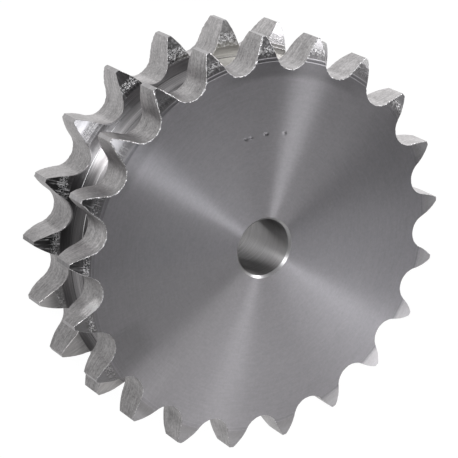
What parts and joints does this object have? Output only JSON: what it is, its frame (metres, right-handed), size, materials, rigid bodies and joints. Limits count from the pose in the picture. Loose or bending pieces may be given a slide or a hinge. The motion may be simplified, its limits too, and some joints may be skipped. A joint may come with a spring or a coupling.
{
  "type": "chain sprocket",
  "caption": "Duplex chain sprocket: a flat steel plate wheel with a toothed rim on each side of a turned groove, and a plain chamfered bore.",
  "frame": {"origin": "centre of the bore, midway between the two tooth rows", "axes": "+Z along the bore towards the front face, +X through the middle of a tooth gap"},
  "size_m": [0.1815, 0.182, 0.0476],
  "materials": {
    "steel": "bare machined steel: faced sides, hobbed tooth gaps, turned groove and bore"
  },
  "bodies": {
    "root": {"sprocket": "steel"}
  },
  "joints": []
}
